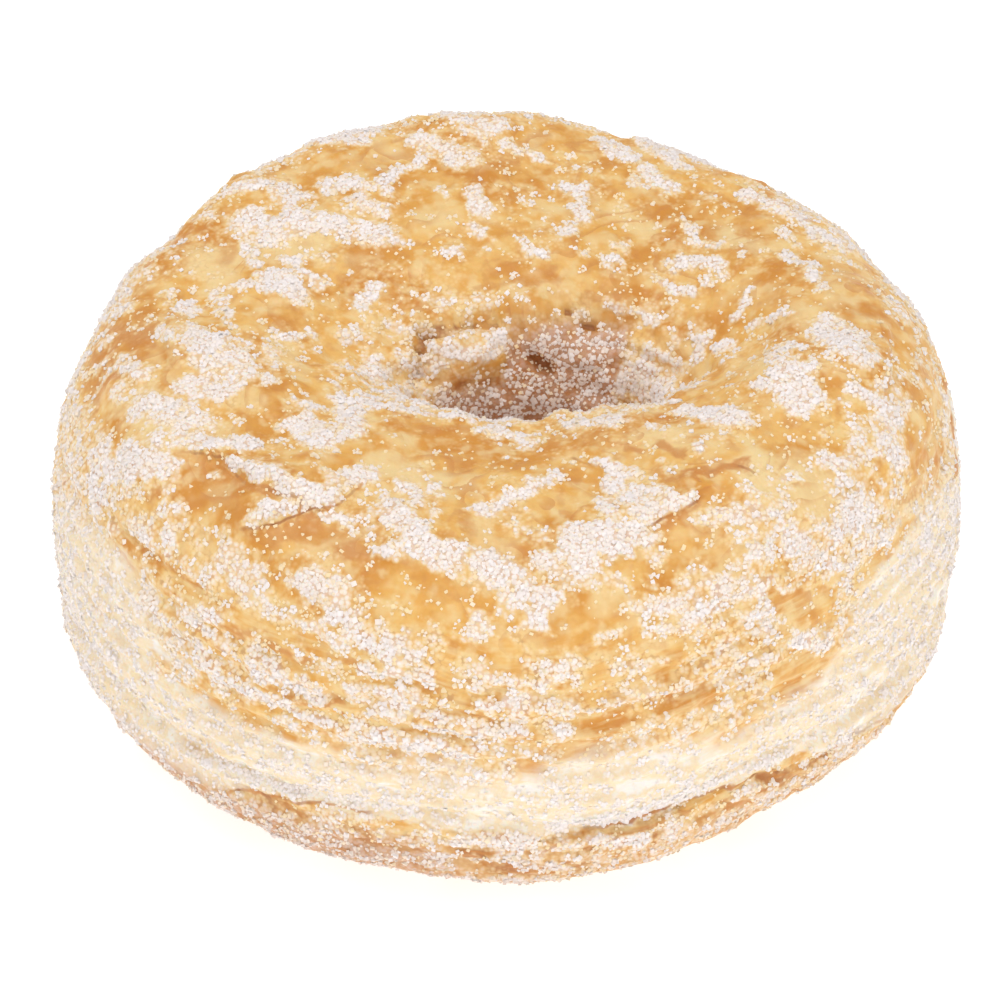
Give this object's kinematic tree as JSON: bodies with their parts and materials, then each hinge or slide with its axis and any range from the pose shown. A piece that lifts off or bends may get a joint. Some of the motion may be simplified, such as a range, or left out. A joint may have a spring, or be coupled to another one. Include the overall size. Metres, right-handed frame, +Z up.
{
  "type": "cronut",
  "caption": "Ring pastry of laminated dough, fried golden and coated in granulated sugar, with an off-centre funnel-shaped hole and flaky layers round its side.",
  "frame": {"origin": "on the table, under the middle of the ring's outer box", "axes": "+Z up along the hole; -Y towards the viewer; +X along the slightly longer way across the ring"},
  "size_m": [0.0972, 0.0946, 0.0456],
  "materials": {
    "sugared_crust": "dry fried crust, golden on top, cream round the waist, under white granulated sugar"
  },
  "bodies": {
    "root": {"cronut": "sugared_crust"}
  },
  "joints": []
}
